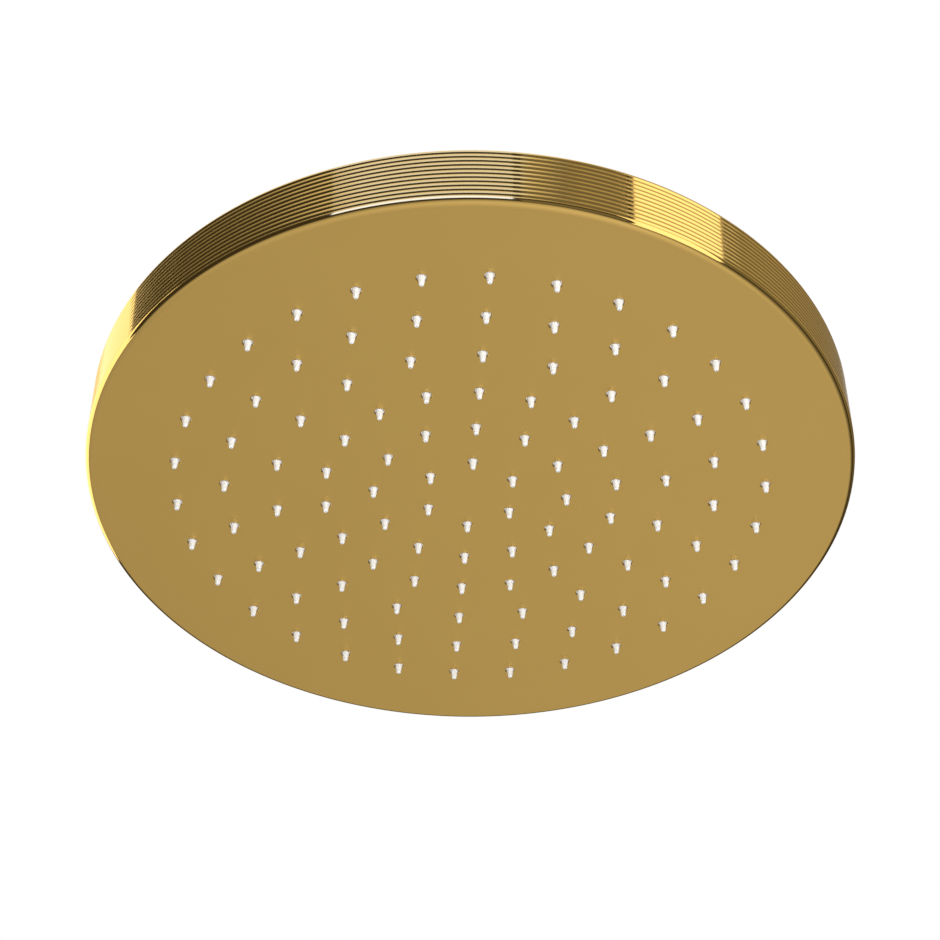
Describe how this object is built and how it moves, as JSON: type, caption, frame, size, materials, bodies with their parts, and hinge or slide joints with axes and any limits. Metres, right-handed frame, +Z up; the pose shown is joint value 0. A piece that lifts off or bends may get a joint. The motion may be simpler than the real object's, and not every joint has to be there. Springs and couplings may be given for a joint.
{
  "type": "shower head",
  "caption": "Round rain shower head with a ribbed gold rim, soft nozzles in rings, a sealed water chamber and a ball-jointed threaded inlet.",
  "frame": {"origin": "centre of the inlet socket's mouth, at the top of the fitting", "axes": "+Z up along the inlet, out of the socket; the head hangs below, face down; a spoke of nozzles lies along -Y"},
  "size_m": [0.25, 0.25, 0.0816],
  "materials": {
    "gold_shell": "polished gold plate on brass",
    "gold_back": "polished gold plate on brass",
    "raw_brass": "turned, unplated",
    "nozzle_silicone": "soft translucent white silicone",
    "black_rubber": "matte black",
    "chamber_plastic": "moulded grey",
    "slick_plastic": "moulded natural acetal",
    "regulator_plastic": "moulded blue",
    "stainless": "plain stainless"
  },
  "bodies": {
    "inlet": {"ball_connector": "gold_back", "flow_regulator": "regulator_plastic", "regulator_seal": "black_rubber", "filter_screen": "stainless", "inlet_washer": "black_rubber"},
    "liner": {"glide_ring": "slick_plastic"},
    "seat": {"ball_seat": "slick_plastic"},
    "head": {"front_shell": "gold_shell", "nozzle_mat": "nozzle_silicone", "water_plate": "chamber_plastic", "chamber_seal": "black_rubber", "chamber_cover": "chamber_plastic", "chamber_screws": "stainless", "cover_gasket": "black_rubber", "back_cover": "gold_back", "inlet_hub": "raw_brass", "hub_seal": "black_rubber", "hub_nut": "raw_brass", "back_washer": "black_rubber", "back_nut": "gold_back", "seat_seal": "black_rubber", "swivel_collar": "gold_back"}
  },
  "joints": [
    {"name": "tilt_sideways", "type": "hinge", "parent": "inlet", "child": "liner", "pos_m": [0, 0, -0.03776], "axis": [0, 1, 0], "range_deg": [-12, 12]},
    {"name": "tilt_forward", "type": "hinge", "parent": "liner", "child": "seat", "pos_m": [0, 0, -0.03776], "axis": [1, 0, 0], "range_deg": [-12, 12]},
    {"name": "head_spin", "type": "hinge", "parent": "seat", "child": "head", "pos_m": [0, 0, -0.03776], "axis": [0, 0, 1], "continuous": true}
  ]
}
